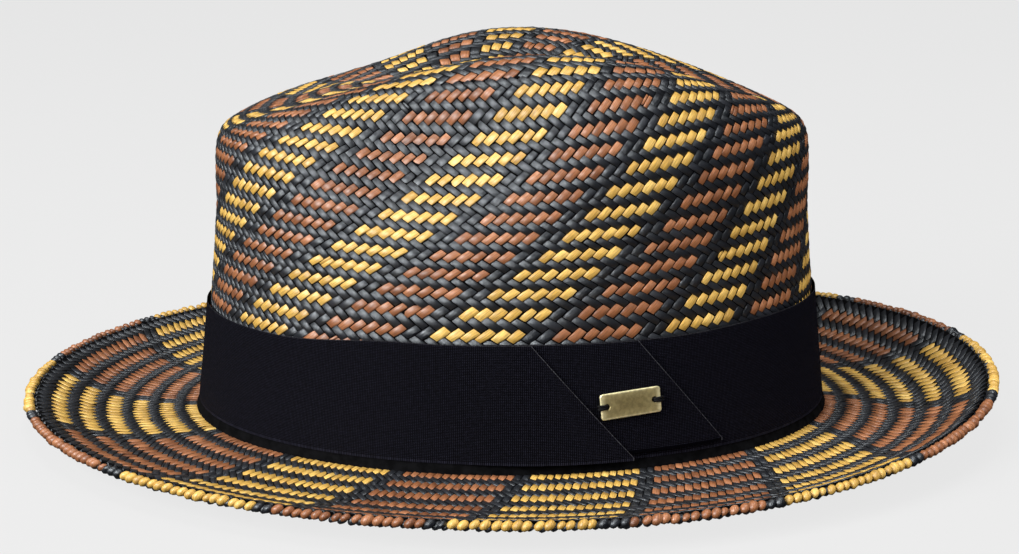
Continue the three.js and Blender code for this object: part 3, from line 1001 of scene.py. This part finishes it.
def brass_material():
    material, tree, shader = new_material("aged_brass", Metallic=0.7, Roughness=0.42)
    place = add_node(tree, "ShaderNodeTexCoord")
    noise = add_node(tree, "ShaderNodeTexNoise", Scale=900.0, Detail=4.0)
    tree.links.new(place.outputs["Object"], noise.inputs["Vector"])
    furthest = add_node(tree, "ShaderNodeMath", operation="MAXIMUM")
    tree.links.new(plate_share(tree, plate_along, PLATE_LENGTH / 2), furthest.inputs[0])
    tree.links.new(plate_share(tree, plate_up, PLATE_HEIGHT / 2), furthest.inputs[1])
    # Darker patina in the middle. The bright border is partly worn brass and partly painted highlight along
    # the edges.
    stops = [(0.35, (0.33, 0.27, 0.12)), (0.82, (0.50, 0.42, 0.20)), (0.96, (0.95, 0.86, 0.50))]
    patina_and_edge_glint = ramp(tree, furthest.outputs["Value"], stops)
    speck = ramp(tree, noise.outputs["Fac"], [(0.4, (0.82, 0.82, 0.82)), (0.62, (1.1, 1.1, 1.1))])
    tree.links.new(mix_colour(tree, 1.0, patina_and_edge_glint, speck, "MULTIPLY"), shader.inputs["Base Color"])
    bump = add_node(tree, "ShaderNodeBump", Strength=0.12, Distance=0.00006)
    tree.links.new(noise.outputs["Fac"], bump.inputs["Height"])
    tree.links.new(bump.outputs["Normal"], shader.inputs["Normal"])
    return material


plate.data.materials.clear()
plate.data.materials.append(brass_material())
print("plate centre in mm:", plate_centre.round(1))
print("along the plate:", plate_along.round(2), "out of it:", plate_out.round(2))

# %% [markdown]
# ## Thread that holds the plate
# A thick black thread comes out of each hole, goes over the end of the plate and back into the
# ribbon. A small circle is spun a little more than half a turn to make one strand, and its ends
# are closed. Two strands lie side by side at each hole.

# %% Make the thread
THREAD_REACH = 1.25
THREAD_HEIGHT = 0.62


def make_strand():
    """A closed bow of thread in the plane of X and Z, one unit in radius: points and faces."""
    mesh = bmesh.new()
    start = Matrix.Rotation(math.radians(24), 4, "Y") @ Matrix.Translation((1, 0, 0))
    bmesh.ops.create_circle(mesh, segments=8, radius=0.34, matrix=start)
    bmesh.ops.spin(mesh, geom=mesh.verts[:] + mesh.edges[:], cent=(0, 0, 0), axis=(0, 1, 0),
                   angle=math.radians(-228), steps=12)
    bmesh.ops.holes_fill(mesh, edges=[e for e in mesh.edges if e.is_boundary], sides=0)
    bmesh.ops.recalc_face_normals(mesh, faces=mesh.faces)
    mesh.verts.ensure_lookup_table()
    points = np.array([v.co[:] for v in mesh.verts])
    faces = [[v.index for v in f.verts] for f in mesh.faces]
    mesh.free()
    return points, faces


def lay_thread(points):
    laid = []
    face_height = np.abs((corners - plate_centre) @ plate_out).max()
    for end in (-1, 1):
        foot = plate_centre + plate_along * end * (PLATE_LENGTH / 2 - HOLE_INSET + THREAD_REACH)
        foot = foot + plate_out * (face_height - 0.12)
        for strand in (-0.38, 0.38):
            along = points[:, :1] * THREAD_REACH * plate_along
            across = (points[:, 1:2] * 1.25 + strand * (1 + 0.2 * points[:, :1] * end)) * plate_up
            laid.append(foot + along + across + points[:, 2:] * THREAD_HEIGHT * plate_out)
    return np.array(laid)


def thread_material():
    """Twisted black thread: a slanted wave draws the grooves between its plies, in the bump and as painted
    shade in the colour.
    """
    material, tree, shader = new_material("black_thread", Roughness=0.8, Specular_IOR_Level=0.2)
    uv = add_node(tree, "ShaderNodeUVMap", uv_map="straw")
    twist = add_node(tree, "ShaderNodeTexWave", Scale=0.9, Distortion=0.6, bands_direction="DIAGONAL")
    tree.links.new(uv.outputs["UV"], twist.inputs["Vector"])
    # Darker where the bump is lowest: painted shade in the grooves between the plies.
    colour = ramp(tree, twist.outputs["Fac"], [(0.2, (0.0005, 0.0005, 0.0010)), (0.8, (0.004, 0.004, 0.005))])
    tree.links.new(colour, shader.inputs["Base Color"])
    bump = add_node(tree, "ShaderNodeBump", Strength=0.6, Distance=0.0001)
    tree.links.new(twist.outputs["Fac"], bump.inputs["Height"])
    tree.links.new(bump.outputs["Normal"], shader.inputs["Normal"])
    return material


strand_points, strand_faces = make_strand()
thread = lay_thread(strand_points)
thread_uv = np.broadcast_to(strand_points[None, :, :2], (len(thread), len(strand_points), 2))
join_floats("plate_thread", [(thread, thread_uv, strand_faces, False)], thread_material())

# %% [markdown]
# ## Floor and light
# The photograph has a flat pale background and almost no shadow, so the hat stands on a pale
# floor that bends up behind it. One large soft light stands high in front, on the camera's side,
# and gives the black straw its grey shine in the pinch. One straight above does the same on the
# brim. The third stands behind. It brightens the coloured straws there, but it isn't mirrored,
# so the black ones stay dark.

# %% Make the stage
FLOOR_FRONT, FLOOR_BACK = -1.2, 2.0
BEND_RADIUS = 0.8
WALL_TOP = 3.5
HALF_FLOOR = 4


def pale_material():
    """A pale floor that glows a little, as if it were lit evenly from below the hat too."""
    material, tree, shader = new_material("pale_floor", Roughness=0.9, Base_Color=(0.02, 0.02, 0.02, 1))
    shader.inputs["Emission Color"].default_value = (1.0, 1.0, 1.0, 1)
    shader.inputs["Emission Strength"].default_value = 0.775
    return material


def make_stage():
    mesh = bmesh.new()
    path = [(FLOOR_FRONT, 0.0), (FLOOR_BACK, 0.0)]
    for t in np.linspace(0.1, math.pi / 2, 14):
        path.append((FLOOR_BACK + math.sin(t) * BEND_RADIUS, BEND_RADIUS - math.cos(t) * BEND_RADIUS))
    path.append((FLOOR_BACK + BEND_RADIUS, WALL_TOP))
    away = -Vector((math.sin(CAMERA_AZIMUTH), -math.cos(CAMERA_AZIMUTH), 0))
    side = Vector((math.cos(CAMERA_AZIMUTH), math.sin(CAMERA_AZIMUTH), 0))
    edge = []
    for reach, height in path:
        edge.append(mesh.verts.new(away * reach - side * HALF_FLOOR + Vector((0, 0, height))))
    line = [mesh.edges.new(pair) for pair in zip(edge, edge[1:])]
    made = bmesh.ops.extrude_edge_only(mesh, edges=line)
    moved = [v for v in made["geom"] if isinstance(v, bmesh.types.BMVert)]
    bmesh.ops.translate(mesh, verts=moved, vec=side * 2 * HALF_FLOOR)
    bmesh.ops.recalc_face_normals(mesh, faces=mesh.faces)
    for face in mesh.faces:
        face.smooth = True
    data = bpy.data.meshes.new("stage_floor")
    mesh.to_mesh(data)
    mesh.free()
    floor = bpy.data.objects.new("stage_floor", data)
    floor.data.materials.append(pale_material())
    floor.visible_diffuse = False
    floor.visible_glossy = False
    bpy.context.scene.collection.objects.link(floor)
    return floor


def area_light(name, place, target, size, power):
    data = bpy.data.lights.new(name, "AREA")
    data.shape = "RECTANGLE"
    data.size, data.size_y = size
    data.energy = power
    light = bpy.data.objects.new(name, data)
    light.location = place
    direction = Vector(target) - Vector(place)
    light.rotation_euler = direction.to_track_quat("-Z", "Y").to_euler()
    bpy.context.scene.collection.objects.link(light)
    return light


make_stage()
world = bpy.data.worlds.new("soft_studio")
world.use_nodes = True
world.node_tree.nodes["Background"].inputs["Color"].default_value = (0.93, 0.96, 1.0, 1)
world.node_tree.nodes["Background"].inputs["Strength"].default_value = 0.05
bpy.context.scene.world = world
area_light("key_light", (0.67, -0.90, 0.66), (0, -0.02, 0.06), (0.80, 0.80), 30)
area_light("top_light", (0.05, -0.05, 1.30), (0, 0, 0.06), (0.6, 0.6), 8)
fill = area_light("fill_light", (0.50, 0.95, 0.62), (0, 0, 0.06), (1.0, 1.0), 14)
fill.visible_glossy = False
bpy.context.scene.view_settings.view_transform = "Standard"
